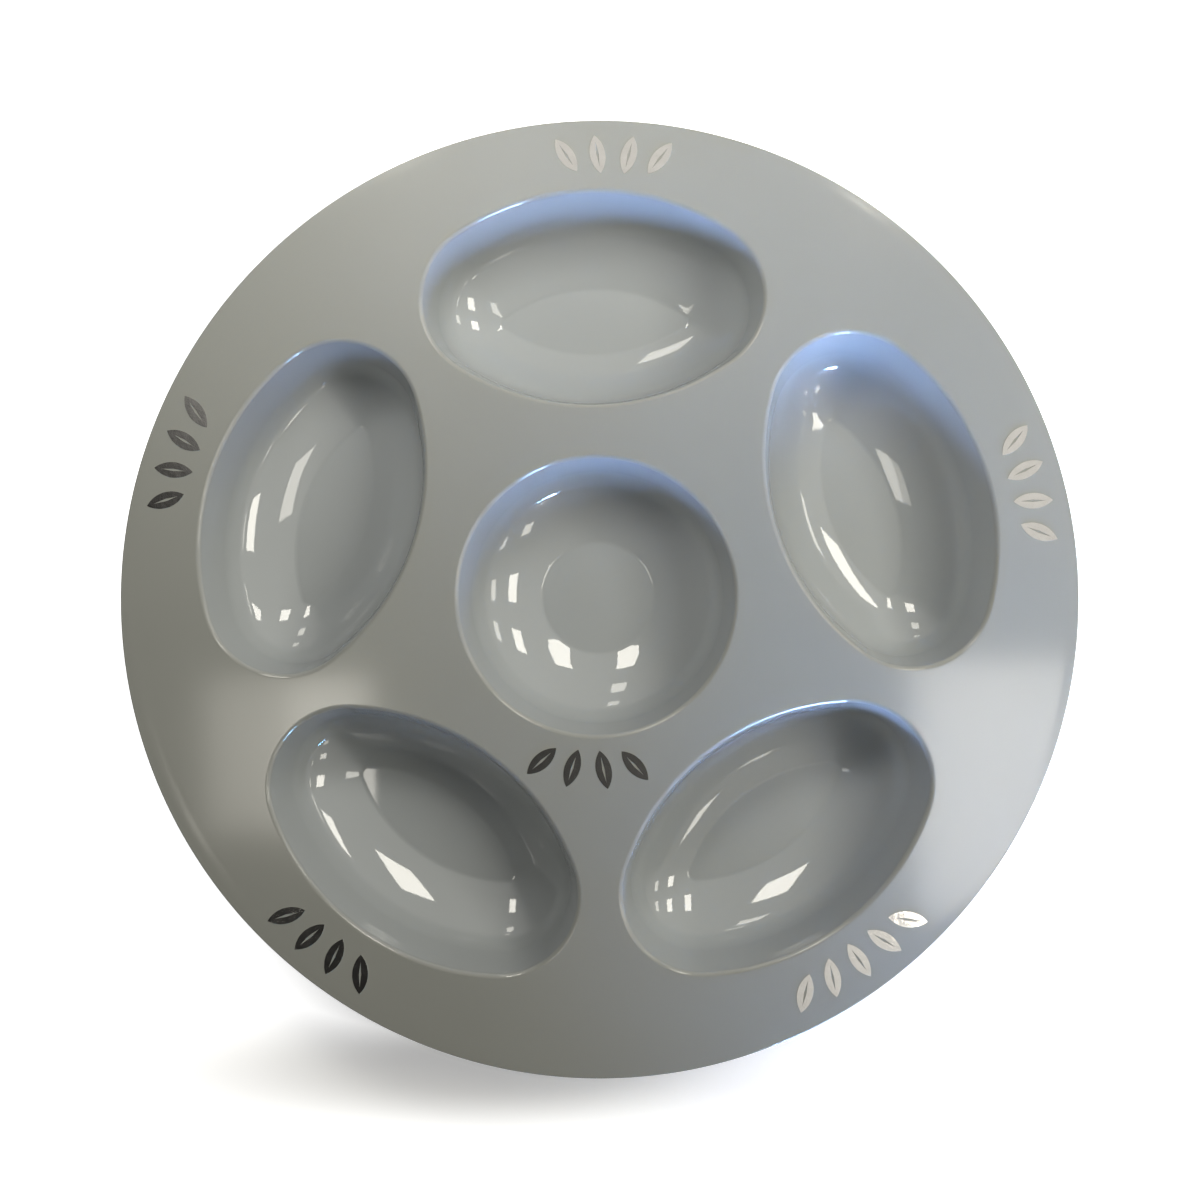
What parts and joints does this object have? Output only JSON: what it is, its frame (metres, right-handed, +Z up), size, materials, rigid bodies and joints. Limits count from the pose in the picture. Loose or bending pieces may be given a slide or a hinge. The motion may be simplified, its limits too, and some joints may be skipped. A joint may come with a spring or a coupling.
{
  "type": "seder plate",
  "caption": "Round moulded serving plate with a round middle well, oval wells around it and silver foil leaves beside each well.",
  "frame": {"origin": "centre of the plate on the plane its wells stand on", "axes": "+Z up, the wells open upwards; +Y from the plate's centre to the middle of the egg well"},
  "size_m": [0.305, 0.305, 0.0311],
  "materials": {
    "plate_plastic": "glossy grey",
    "silver_foil": "bright silver foil"
  },
  "bodies": {
    "root": {"plate": "plate_plastic", "egg_leaf_1": "silver_foil", "egg_leaf_2": "silver_foil", "egg_leaf_3": "silver_foil", "egg_leaf_4": "silver_foil", "karpas_leaf_1": "silver_foil", "karpas_leaf_2": "silver_foil", "karpas_leaf_3": "silver_foil", "karpas_leaf_4": "silver_foil", "chazeret_leaf_1": "silver_foil", "chazeret_leaf_2": "silver_foil", "chazeret_leaf_3": "silver_foil", "chazeret_leaf_4": "silver_foil", "charoset_leaf_1": "silver_foil", "charoset_leaf_2": "silver_foil", "charoset_leaf_3": "silver_foil", "charoset_leaf_4": "silver_foil", "charoset_leaf_5": "silver_foil", "shank_bone_leaf_1": "silver_foil", "shank_bone_leaf_2": "silver_foil", "shank_bone_leaf_3": "silver_foil", "shank_bone_leaf_4": "silver_foil", "maror_leaf_1": "silver_foil", "maror_leaf_2": "silver_foil", "maror_leaf_3": "silver_foil", "maror_leaf_4": "silver_foil"}
  },
  "joints": []
}
